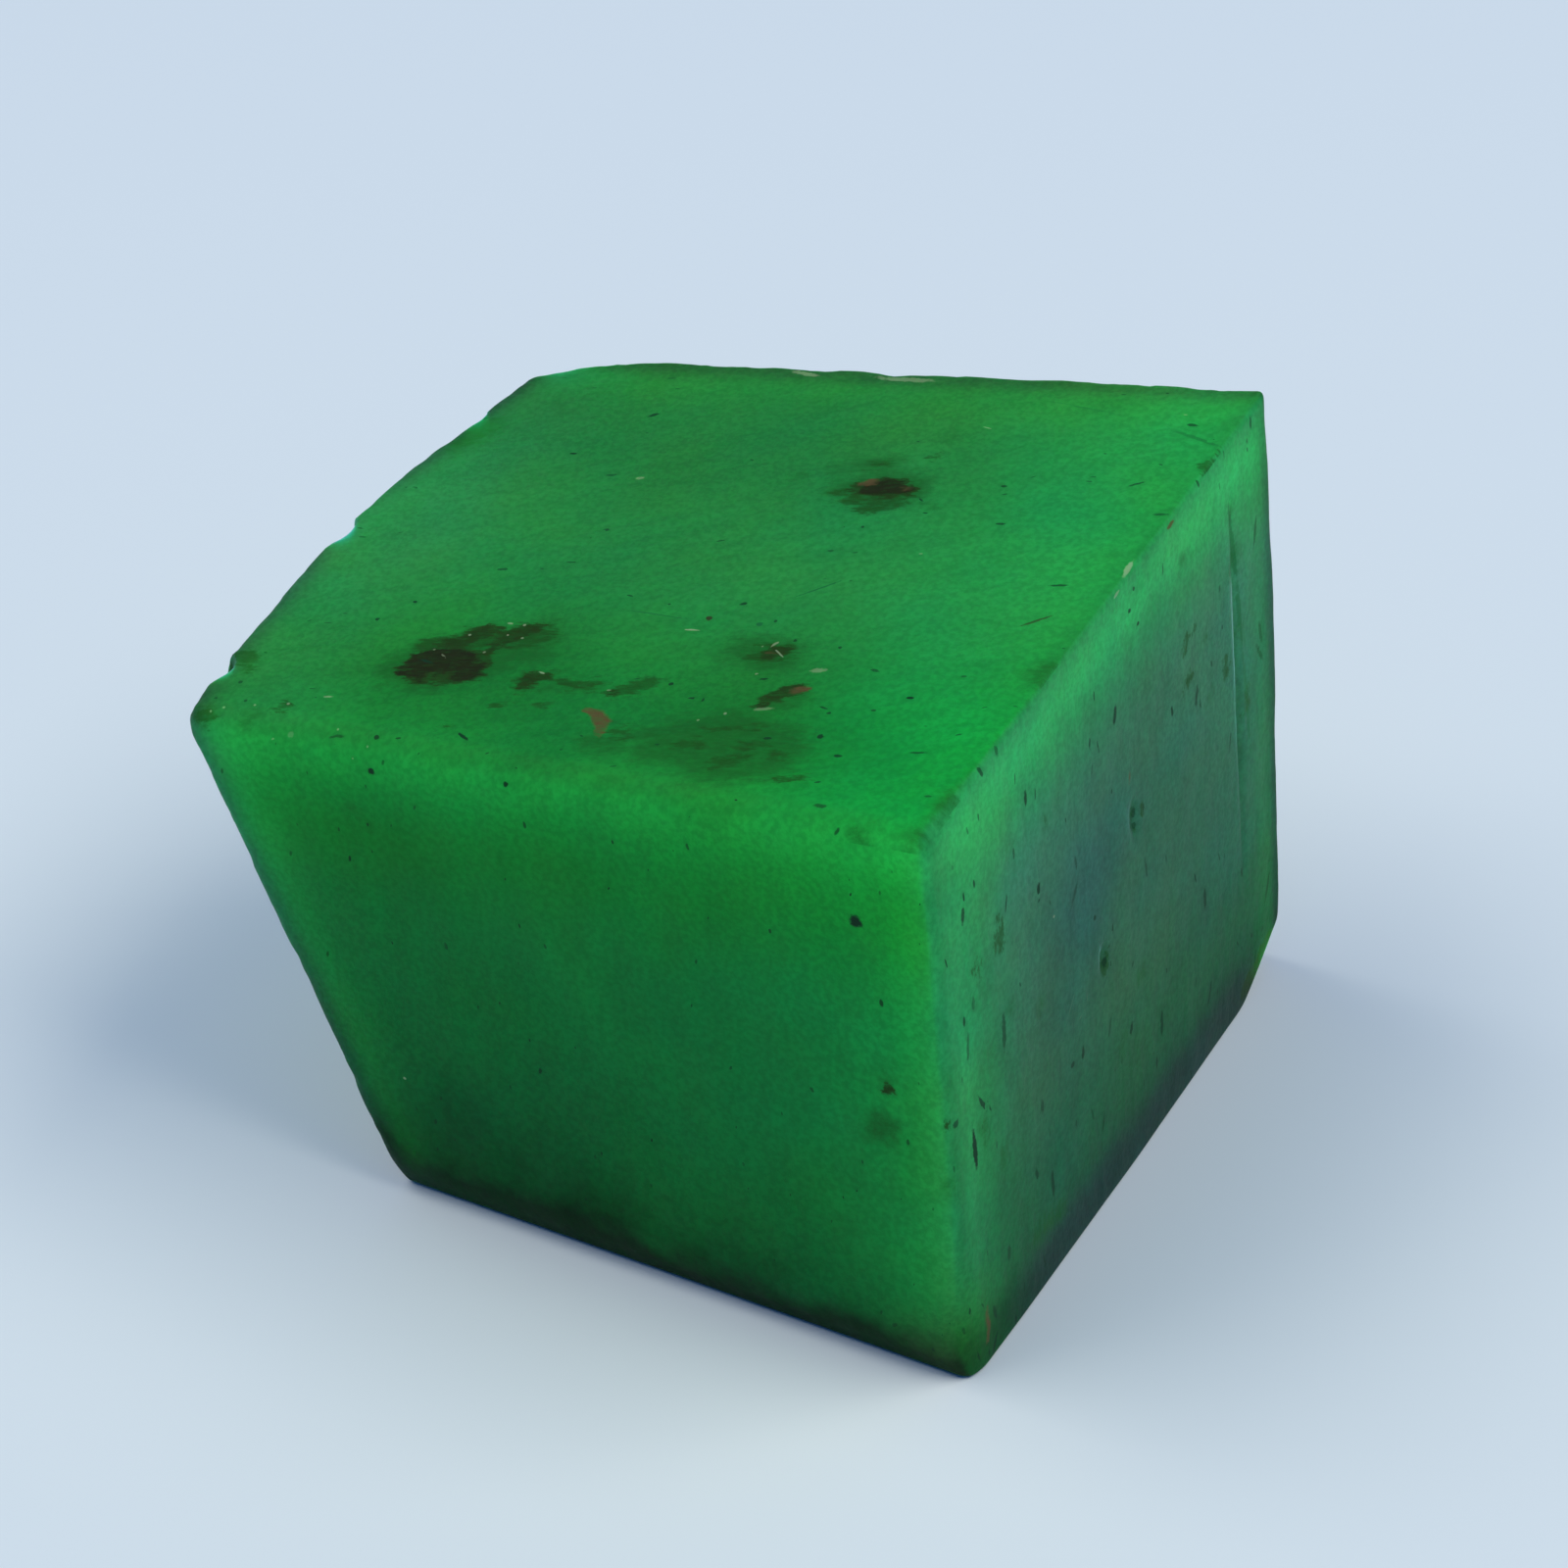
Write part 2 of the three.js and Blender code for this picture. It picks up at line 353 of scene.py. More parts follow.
def top_colour(places, inside):
    """Paler to the right and the back, with painted shade along its left, back and right edges."""
    x, y, _ = places.T
    from_front, from_left, from_back = inside["front"], inside["left"], inside["back"]
    back = rise(from_front, 3, 9)
    tone = 0.245 + 0.065 * rise(x, 3, 8.5) + patches(places, TOP_PATCHES)
    # Painted shade along the crease by the right face, the left edge and the back edge.
    tone -= 0.25 * fade(inside["crease"], 0.35) * rise(y, -6, -2)
    tone -= 0.16 * fade(from_left, 1.2) + (0.1 + 0.05 * rise(x, 2, 5)) * fade(from_back, 0.9)
    tone -= 0.045 * fade(np.abs(from_front - 2.6), 1.7, 2) * rise(x, -9, -6)
    tone -= 0.04 * rise(from_front, 10, 14) * (1 - rise(x, 0, 5))
    by_notch = 1 - rise(x, -10, -6)
    red = 0.045 + 0.035 * back - 0.025 * rise(x, 2, 8) + 0.03 * by_notch
    # Redder and bluer at the left and back edges: a painted reflection on the edges turning away.
    red += 0.25 * fade(from_left, 0.7) + 0.1 * fade(from_back, 1)
    blue = 0.14 + 0.055 * back + 0.06 * by_notch + 0.25 * fade(from_left, 0.7)
    return milk(tone, red, blue)


# Painted shade at the foot of the front: its darkest tones from the left to the right, and how the
# body above it pales with height.
FOOT_SHADE_TONES = ((-5, 0, 3, 7, 8.5, 10.4), (0.036, 0.026, 0.022, 0.023, 0.028, 0.034))
FOOT_SHADE_SHARES = ((0.45, 0.6, 1.1, 1.6, 2.4, 3.5, 5, 8), (0.05, 0.1, 0.27, 0.52, 0.7, 0.81, 0.9, 1.05))
FOOT_SHADE_WOBBLE = 0.5
FOOT_SHADE_WOBBLE_SCALE = 0.6
# From the left to the right of the front: its tone, and how far its painted foot shade is drawn
# down.
FRONT_TONES = ((-10.5, -8, -4, 4, 7, 9.5), (0.24, 0.182, 0.198, 0.21, 0.248, 0.3))
FOOT_SHADE_STRETCH = ((-4, -2, 3, 6, 9), (0.85, 0.75, 1, 0.92, 0.9))


def front_colour(places, inside):
    """Painted light under the top and by the right edge, painted shade to the left and at the foot.
    """
    x, _, z = places.T
    under_top, from_right = inside["top"], inside["right"]
    by_right = fade(from_right, 1.2, 2)
    tone = np.interp(x, *FRONT_TONES)
    # Painted light under the top, where light comes through the stone, and painted shade right at
    # the crease.
    tone += 0.135 * fade(under_top - 1, 2.2) - 0.08 * fade(under_top, 0.5)
    # Painted shade at the foot.
    foot_shade_height = z * np.interp(x, *FOOT_SHADE_STRETCH)
    foot_shade_height += FOOT_SHADE_WOBBLE * clouds(places, FOOT_SHADE_WOBBLE_SCALE)[:, 0] * rise(z, 0.4, 1)
    tone *= np.interp(foot_shade_height, *FOOT_SHADE_SHARES)
    # Painted shade along the left edge, which is also redder and bluer there as a painted
    # reflection.
    left_edge = fade(inside["left"], 0.8)
    tone += patches(places, FRONT_PATCHES) - (0.09 + 0.13 * rise(z, 10, 13)) * left_edge
    tone = np.maximum(tone, np.interp(x, *FOOT_SHADE_TONES))
    red = 0.025 + 0.035 * fade(under_top, 0.9, 2) + 0.13 * by_right + 0.16 * left_edge
    red += 0.16 * spot(places, *WARM_FOOT_GLOW)
    blue = 0.17 - 0.065 * fade(np.abs(under_top - 2.7), 1.8, 2) + 0.06 * by_right
    blue += 0.35 * left_edge
    return milk(tone, red, blue)


# Painted shade at the foot of the right face: how it pales with height above its foot.
SIDE_FOOT_SHADE_SHARES = ((0, 0.8, 1.4, 1.7, 2.2, 3, 5, 7), (0.42, 0.36, 0.42, 0.52, 0.68, 0.82, 0.9, 1))
SIDE_FOOT_SHADE_STRETCH = ((-5, 2), (1.25, 1))
# The painted glow by its front edge, from the top down: how wide it is and how pale.
GLOW_BAND_RUNS = ((2.5, 4.5, 9, 13), (6, 3.6, 1.7, 1.4))
GLOW_BAND_TONES = ((4.5, 9, 13), (0.20, 0.18, 0.11))


def right_colour(places, inside):
    """Greyer than the front from a painted sheen, with a painted glow by the front edge and under
    the top.
    """
    _, y, z = places.T
    from_front, under_top = inside["front"], inside["top"]
    # Painted light by the front edge and under the top, where light comes through the stone.
    band = fade(from_front - 1.2, np.interp(under_top, *GLOW_BAND_RUNS))
    band *= np.interp(under_top, *GLOW_BAND_TONES)
    glow = 0.27 * fade(under_top - 1.25, 1.7)
    # Painted shade along the crease under the top.
    tone = 0.147 + np.hypot(band, glow) - 0.14 * fade(under_top, 0.4)
    tone += 0.03 * rise(from_front, 11, 15) * rise(z, 8, 13)
    tone -= 0.08 * fade(np.abs(from_front - 0.4), 0.4, 2) * rise(z, 2, 7)
    # Painted shade at the foot.
    foot_shade_height = z * np.interp(y, *SIDE_FOOT_SHADE_STRETCH)
    foot_shade_height += 0.5 * FOOT_SHADE_WOBBLE * clouds(places, FOOT_SHADE_WOBBLE_SCALE)[:, 0] * rise(z, 0.4, 1)
    tone *= np.interp(foot_shade_height, *SIDE_FOOT_SHADE_SHARES)
    # Painted shade at the back edge.
    tone *= 1 - 0.75 * fade(inside["back"], 0.8)
    # A painted sheen in the middle of the face.
    sheen_patch = spot(places, *SHEEN_PATCH)
    tone *= 1 - 0.18 * sheen_patch
    tone += patches(places, RIGHT_PATCHES)
    # Painted sheen: redder and bluer, so greyer, away from the front and top edges, higher up and
    # by the foot.
    shade = rise(from_front, 1.5, 5) * rise(under_top, 1.5, 5)
    by_foot = (1 - rise(z, 0.8, 2.2)) * rise(y, -8, -5)
    high = rise(z, 3, 8)
    red = 0.09 + (0.06 + 0.08 * high) * shade + 0.06 * sheen_patch + 0.2 * by_foot
    blue = 0.27 + (0.1 + 0.11 * high) * shade + 0.13 * sheen_patch + 0.3 * by_foot
    blue -= 0.14 * spot(places, *GREEN_FOOT)
    return milk(tone, red, blue)


def hidden_colour(places, inside):
    """The sides that the photo doesn't show carry on from those that it does."""
    under_top = inside["top"]
    # Painted light under the top and by the left and right edges.
    tone = 0.15 + 0.22 * fade(under_top - 1, 2) - 0.1 * fade(under_top, 0.5)
    tone += 0.06 * fade(inside["left"] - 1, 2) + 0.06 * fade(inside["right"] - 1, 2)
    # Painted shade at the foot.
    tone *= 0.2 + 0.8 * rise(places[:, 2], 0.8, 2.4)
    # Darker, redder and bluer at the edges beside the seen faces.
    seen_edge = fade(np.minimum.reduce([inside["front"], inside["right"], under_top]), 1.2)
    tone *= 1 - 0.6 * seen_edge
    return milk(tone, 0.05 + 0.15 * seen_edge, 0.2 + 0.3 * seen_edge)


FACE_COLOURS = {"top": top_colour, "front": front_colour, "right": right_colour}


def inside_of_faces(places):
    """How far each place lies inside every face, both left faces and the crease by the top."""
    inside = {name: -height(places, name) for name in FACES}
    inside["left"] = np.minimum(inside["left_front"], inside["left_back"])
    inside["crease"] = np.minimum(inside["right"], inside["right_face_top"])
    return inside


def body_colours(places, normals):
    """The colour of the stone without its stains, with its painted light and shade, at each place
    of the surface.
    """
    inside = inside_of_faces(places)
    body = np.zeros_like(places)
    whole = np.zeros(len(places))
    for name in FACE_CORNERS:
        share = np.maximum(normals @ FACES[name][0], 0) ** FACE_SHARPNESS
        body += FACE_COLOURS.get(name, hidden_colour)(places, inside) * share[:, None]
        whole += share
    cloud = clouds(places, CLOUD_SCALE)
    body *= (1 + CLOUD_TONE * cloud[:, :1]) / whole[:, None]
    body *= 1 - DULLNESS * spot(places, *DULL_CORNER)[:, None]
    return body * (1 + cloud[:, 1:2] * CLOUD_HUE)


# How near the edges the stone stops letting light through.
EDGE_RUN = 1.0


def edge_share(places):
    """One at the outer edges, at the crease beside the top and at the foot, zero elsewhere."""
    inside = inside_of_faces(places)
    crease = fade(inside["crease"], EDGE_RUN, 2) * fade(inside["top"], EDGE_RUN, 2)
    outer = np.minimum.reduce([inside["left"], inside["back"], places[:, 2]])
    return np.maximum(fade(outer, EDGE_RUN, 2), crease)


# The unevenness of the worn surface and the small chips along the left and the back edges.
UNEVENNESS = 0.012
CHIP_DEPTH = 0.11
CHIP_SCALE = 0.9
CHIP_RUN = 0.6
CHIPPED_EDGES = (("top", "left"), ("front", "left"), ("top", "back"))


def chips(places):
    """How far the surface is worn back at each place."""
    inside = inside_of_faces(places)
    by_edge = sum(fade(inside[a], CHIP_RUN) * fade(inside[b], CHIP_RUN) for a, b in CHIPPED_EDGES)
    field = clouds(places, CHIP_SCALE)
    chipped = CHIP_DEPTH * np.minimum(by_edge, 1) * np.clip(field[:, 0] + 0.1, 0, 1)
    return (chipped + UNEVENNESS * np.clip(field[:, 1] + 0.5, 0.05, 1)) * rise(places[:, 2], 0.5, 2)


# The finer surface is a hair narrower than the CAD part, so that it stays within its box.
WITHIN_BOX = 0.9997
FRONT_DROP_SHARE = 0.5


def build_stone():
    lattice, quads = cube_grid(GRID_STEPS)
    even = lattice / GRID_STEPS
    shares = even - GRID_GATHER / (2 * math.pi) * np.sin(2 * math.pi * even)
    points = surface_points(place_in_block(*shares.T))

    cad_middle = (CAD_BOX[0] + CAD_BOX[1]) / 2
    own_middle = (points.min(axis=0) + points.max(axis=0)) / 2
    places = points * MM
    places[:, :2] += np.array(cad_middle)[:2] - own_middle[:2] * MM
    places[:, :2] *= WITHIN_BOX

    mesh = bpy.data.meshes.new("raw_emerald")
    mesh.from_pydata(places.tolist(), [], quads.tolist())
    mesh.update()
    mesh.shade_smooth()
    flat = np.zeros(len(points) * 3)
    mesh.vertex_normals.foreach_get("vector", flat)
    normals = flat.reshape(-1, 3)

    places -= normals * chips(points)[:, None] * MM
    mesh.vertices.foreach_set("co", places.ravel())
    mesh.update()
    mesh.vertex_normals.foreach_get("vector", flat)

    def keep(name, values):
        field = mesh.attributes.new(name, "FLOAT_VECTOR", "POINT")
        field.data.foreach_set("vector", values.ravel())

    keep("body_colour_with_painted_light", body_colours(points, normals))
    side = np.abs(normals[:, 0]) + FRONT_DROP_SHARE * np.abs(normals[:, 1])
    keep("zone", np.stack((side, edge_share(points), 0 * side), axis=1))
    gaps = stain_gaps(points, normals)
    keep("soft_stain_gap", gaps[[0, 1, 2]].T)
    keep("sharp_stain_gap", gaps[[3, 4, 4]].T)
    for name, values in fine_mark_fields(points, normals).items():
        keep(name, values)

    stone = bpy.data.objects.new("raw_emerald", mesh)
    bpy.context.collection.objects.link(stone)
    return stone


# ---- Stains: brush strokes on a face, as points with a half width, in millimetres. Strokes on the
# top are seen from above, as x and y, those on the front as x and z and those on the right as
# y and z. Each layer is painted over the one before it, from a soft haze to a dark core.
# The points were picked in the photo. A scratch program cast most of them, and of the dots and
# lines further down, onto the surface and gave these millimetres.

# The grain of the top: the turn from the x axis of its fibres and streaks.
LEVEL_GRAIN = math.radians(12.7)

HAZE_STROKES = {
    "top": {
        "smear": ((1.71, -8.55, 0.6), (2.37, -8.15, 1), (3.42, -8.06, 1.4), (4.54, -7.87, 1)),
        "smear_tip": ((0.64, -8.23, 0.25), (1.13, -8.11, 0.3), (1.93, -7.85, 0.6)),
        "smear_foot": ((4.02, -8.88, 0.6), (4.96, -8.41, 0.5)),
        "seed_shade": ((3.82, -6.22, 0.35), (4.22, -5.83, 0.3)),
        "moth_halo": ((2.06, -4.33, 0.55), (2.88, -4.3, 0.7)),
        "blotch_halo": ((-6.52, -7.02, 0.7), (-5.62, -6.64, 1.2), (-4.59, -5.89, 1.1)),
        "lobe_halo": ((-4.59, -5.89, 1), (-3.63, -5.12, 0.7)),
        "lobe_shade": ((-3.69, -5.92, 0.3), (-3.28, -5.73, 0.35)),
        "eye_halo": ((1.26, 2.75, 0.5), (2.11, 2.95, 0.95), (2.88, 3.2, 0.7)),
        "eye_left_lobe": ((0.64, 3.64, 0.2),),
        "eye_back_lobe": ((1.18, 3.95, 0.35), (1.84, 4.09, 0.45)),
        "hook_foot": ((0, -8.7, 0.3), (0.49, -8.67, 0.3)),
        "spot_streak": ((-2.28, -6.86, 0.15), (-0.98, -6.55, 0.1)),
        "front_left": ((8.09, -10.07, 0.15), (8.35, -10.08, 0.05)),
        "front_right": ((9.49, -9.87, 0.1), (9.46, -10.12, 0.15)),
        "crease_corner": ((9.66, -8.75, 0.2), (9.8, -8.39, 0.15)),
        "faint_left": ((-9.57, -9.82, 0.1), (-9.31, -9.76, 0.05)),
        "faint_back": ((3.05, 5.62, 0.05),),
        "faint_right": ((3.45, 2.66, 0), (4.15, 2.45, 0)),
        "faint_middle": ((-0.29, 3.17, 0.07),),
        "by_crease": ((9.79, -3.61, 0.25), (9.87, -3.09, 0.2)),
        "bevel": ((-10.5, 2.5, 0.35), (-10.2, 3.4, 0.4)),
    },
    "front": {
        "blob_halo": ((8.95, 7.9, 0.45), (9.15, 8, 0.35)),
        "small_halo": ((8.89, 9.47, 0), (9.37, 9.61, 0)),
        "streak": ((-6.27, 12.66, 0), (-5.82, 12.32, 0)),
        "foot_spot": ((10.87, 6.76, 0.15),),
    },
    "right": {
        "spot_left": ((4.08, 16.94, 0.1),),
        "spot_small": ((4.67, 16.87, 0),),
        "under_crease": ((6.95, 16.9, 0.15),),
        "by_vein": ((7.12, 15.39, 0.2), (6.81, 15.04, 0.1)),
        "by_vein_right": ((7.47, 12.61, 0.05), (7.31, 13.19, 0.01)),
        "foot_left": ((5.32, 11.98, 0.1),),
        "spot_middle": ((5.14, 13.92, 0.05),),
        "soft_right": ((0.63, 6.06, 0.1),),
        "soft_foot": ((-0.55, 4.69, 0.05), (-0.57, 4.37, 0.05)),
        "near_edge": ((-4.25, 13.96, 0),),
        "near_low": ((-6.03, 14.42, 0),),
        "low_left": ((-6.64, 9.89, 0.05),),
        "low_middle": ((-5.12, 8.9, 0.05),),
        "low_edge": ((-8.52, 7.46, 0.1), (-8.48, 6.97, 0.05)),
        "low_face": ((-7.56, 5.99, 0.05), (-7.55, 5.57, 0.05)),
        "foot_smudge": ((-5.98, 2.07, 0.2), (-4.5, 1.87, 0.15)),
    },
}
OLIVE_STROKES = {
    "top": {
        "arm_fill": ((-5.9, -6.18, 0.7), (-5.12, -5.49, 0.5), (-4.55, -5.36, 0.3)),
        "lobe_fill": ((-4, -5.09, 0.45), (-3.53, -4.84, 0.35)),
        "spot_halo": ((-2.92, -6.87, 0.38), (-2.57, -6.56, 0.32)),
        "dot_under": ((-2.18, -7.64, 0.1), (-1.98, -7.5, 0.1)),
        "dot_beside": ((-3.19, -7.99, 0.02), (-2.93, -7.84, 0.02)),
        "dot_left": ((-3.99, -8.97, 0.12),),
        "streak": ((-2.04, -6.59, 0.14), (-1.19, -6.47, 0.12)),
        "moss": ((-0.45, -6.68, 0.14), (-0.18, -6.45, 0.28), (0.19, -6.19, 0.26),
                 (0.52, -5.86, 0.12)),
        "smear_left": ((3.75, -8.6, 0.3), (3.95, -8.4, 0.2)),
        "smear_core": ((3.3, -8.12, 0.1), (3.9, -7.96, 0.16), (4.5, -7.85, 0.08)),
        "smear_streak": ((1.9, -8.32, 0.02), (2.9, -8.1, 0.06)),
        "smear_back": ((2.7, -7.5, 0), (3.9, -7.2, 0.04)),
        "smear_right": ((4.93, -8.05, 0.18),),
        "hook_shade": ((0.27, -8.07, 0.18), (0.69, -8.22, 0.16)),
        "eye_left": ((1.19, 2.54, 0.12), (1.75, 2.12, 0.16), (2.51, 2.15, 0.18)),
        "eye_right": ((2.51, 2.15, 0.18), (3.07, 2.45, 0.16), (3.17, 2.84, 0.12)),
        "eye_fill": ((1.85, 2.61, 0.4), (2.83, 2.82, 0.34)),
        "eye_lobe": ((1.54, 3.98, 0.16), (1.81, 4.08, 0.1)),
        "moth_body": ((2.38, -4.42, 0.3), (3.06, -4.22, 0.34)),
        "moth_left": ((2.1, -4.62, 0.14),),
        "corner": ((-11.33, -7.7, 0.32), (-11, -7.65, 0.3), (-10.7, -7.95, 0.25)),
        "corner_foot": ((-10.9, -9.93, 0.2), (-10.69, -9.87, 0.2)),
        "edge_streak": ((5.3, -8.95, 0.05), (6, -8.75, 0.1)),
        "ink": ((-8.78, -9.25, 0.18),),
        "spot_back": ((3.07, 4.69, 0.17),),
        "crease_spot": ((10.31, 5.84, 0.2), (10.33, 6.51, 0.15)),
    },
    "right": {
        "green_spot": ((-6.94, 12.75, 0.16), (-6.98, 12.1, 0.24)),
        "green_small": ((-8.21, 12.38, 0.12), (-8.2, 12.08, 0.15)),
        "dark_spot": ((-1.37, 7.93, 0.12), (-1.43, 7.69, 0.16)),
        "dash_pair": ((0.71, 11.26, 0.03), (0.7, 10.7, 0.05)),
        "dash_right": ((1.16, 11.1, 0.1),),
        "smudge_vein": ((7.65, 10.81, 0.15), (7.64, 10.31, 0.2)),
        "smudge_back": ((6.43, 12.6, 0.12), (6.41, 12.04, 0.14)),
        "diagonal": ((4.6, 14.83, 0.1), (3.95, 14.37, 0.13)),
        "diagonal_low": ((4.23, 13.38, 0.12), (3.85, 13.18, 0.14)),
    },
}
BROWN_STROKES = {
    "top": {
        "blotch_rim": ((-6.35, -7.1, 0.3), (-5.81, -6.81, 0.75), (-4.95, -6.66, 0.75)),
        "arm": ((-5.4, -5.33, 0.25), (-5.04, -5.12, 0.27), (-4.7, -4.91, 0.1)),
        "arm_link": ((-5.99, -5.93, 0.25), (-5.42, -5.68, 0.2)),
        "lobe": ((-4.28, -5.11, 0.3), (-4.01, -4.87, 0.32), (-3.79, -4.64, 0.15)),
        "lobe_line": ((-4.29, -5.29, 0.22), (-4.48, -5.69, 0.16), (-4.76, -6.01, 0.14)),
        "lobe_foot": ((-4.76, -6.01, 0.14), (-4.81, -6.32, 0.18)),
        "spot": ((-2.99, -6.84, 0.16), (-2.77, -6.61, 0.3), (-2.5, -6.54, 0.18)),
        "spot_foot": ((-2.92, -6.95, 0.22), (-2.67, -6.89, 0.12)),
        "seed": ((3.48, -6.31, 0.18), (3.79, -5.9, 0.3), (4.13, -5.49, 0.25), (4.33, -5.35, 0.1)),
        "moth": ((2.47, -4.27, 0.1), (2.69, -4.26, 0.2), (3.09, -4.17, 0.22)),
        "moss_start": ((-0.43, -6.72, 0.12),),
        "eye_rim": ((1.79, 2.96, 0.42), (2.33, 3.09, 0.5), (2.9, 3.16, 0.3)),
    },
    "front": {
        "edge_brown": ((10.75, 8.5, 0.13),),
        "small_brown": ((9.19, 9.31, 0.12),),
    },
    "right": {
        "brown_on_chip": ((7.6, 0.7, 0.3), (9.2, 1.2, 0.45)),
    },
}
CORE_STROKES = {
    "top": {
        "blotch": ((-6.2, -6.87, 0.3), (-5.85, -6.7, 0.55), (-5.2, -6.55, 0.5)),
        "blotch_corner": ((-6.38, -6.49, 0.2), (-6, -6.39, 0.35)),
        "blotch_tail": ((-6.38, -7.25, 0.22), (-5.87, -7.22, 0.2)),
        "blotch_right": ((-4.74, -6.94, 0.33), (-4.61, -6.66, 0.3)),
        "eye": ((1.91, 2.95, 0.33), (2.33, 3.09, 0.36), (2.77, 3.18, 0.22)),
    },
}
RUST_STROKES = {
    "top": {
        "hook_top": ((-0.79, -7.52, 0.1), (-0.48, -7.6, 0.17), (-0.16, -7.84, 0.19)),
        "hook_foot": ((-0.16, -7.84, 0.19), (-0.02, -8.05, 0.19), (0.05, -8.4, 0.12)),
        "seed_tip": ((4.08, -5.64, 0.1), (4.36, -5.38, 0.12)),
        "moth_red": ((2.55, -4.31, 0.02), (3.14, -4.2, 0.05)),
        "eye_orange": ((1.58, 3.1, 0.1), (1.84, 3.3, 0.15)),
        "eye_tip": ((2.8, 3.18, 0.06), (2.93, 3.21, 0.08)),
        "tan_spot": ((-6.1, -10.1, 0),),
    },
    "right": {
        "foot_line": ((-8.98, 0.85, 0.08), (-8.93, 1.35, 0.12), (-8.9, 1.95, 0.05)),
        "side_line": ((0.42, 12.69, 0.03), (0.37, 12.26, 0.03)),
    },
}
STAIN_LAYERS = (HAZE_STROKES, OLIVE_STROKES, BROWN_STROKES, CORE_STROKES, RUST_STROKES)
# The axes of the places of the strokes of a face, the face's own axis and its side.
STROKE_AXES = {"top": ((0, 1), 2, 1), "front": ((0, 2), 1, -1), "right": ((1, 2), 0, 1)}
# How far from its strokes a stain is kept, and the turn of the surface that ends it.
STAIN_REACH = 1.5
STROKE_FACING = 0.35
# The random push that makes the outlines of stains uneven, in millimetres.
STAIN_PUSH_SCALE = 1.3
STAIN_PUSH = 0.10


def stroke_gap(places, points):
    """How far each place lies outside a stroke through points with half widths."""
    points = np.array(points, float)
    ends = points[1:] if len(points) > 1 else points
    gap = np.full(len(places), STAIN_REACH)
    for start, end in zip(points, ends):
        run = end[:2] - start[:2]
        share = np.clip((places - start[:2]) @ run / max(run @ run, SHORTEST), 0, 1)
        middle = start[:2] + share[:, None] * run
        half_width = start[2] + share * (end[2] - start[2])
        gap = np.minimum(gap, norm(places - middle, axis=1) - half_width)
    return gap


def stain_gaps(places, normals):
    """How far each place lies outside the strokes of each layer of stain."""
    places = places + STAIN_PUSH * clouds(places, STAIN_PUSH_SCALE)
    gaps = np.full((len(STAIN_LAYERS), len(places)), STAIN_REACH)
    for gap, layer in zip(gaps, STAIN_LAYERS):
        for face, strokes in layer.items():
            axes, own_axis, side = STROKE_AXES[face]
            facing = np.nonzero(normals[:, own_axis] * side > STROKE_FACING)[0]
            seen = places[facing][:, axes]
            for points in strokes.values():
                gap[facing] = np.minimum(gap[facing], stroke_gap(seen, points))
    return gaps


# ---- Fine marks: dots, lines and flecks, from a start to an end with a half width. A vertex
# near a mark keeps its place in the mark's own frame. That place is exact between vertices
# too, so that marks finer than the mesh stay crisp.

DARK, BROWN, RUST, CREAM, FAINT = 0, 0.25, 0.5, 0.75, 1.0

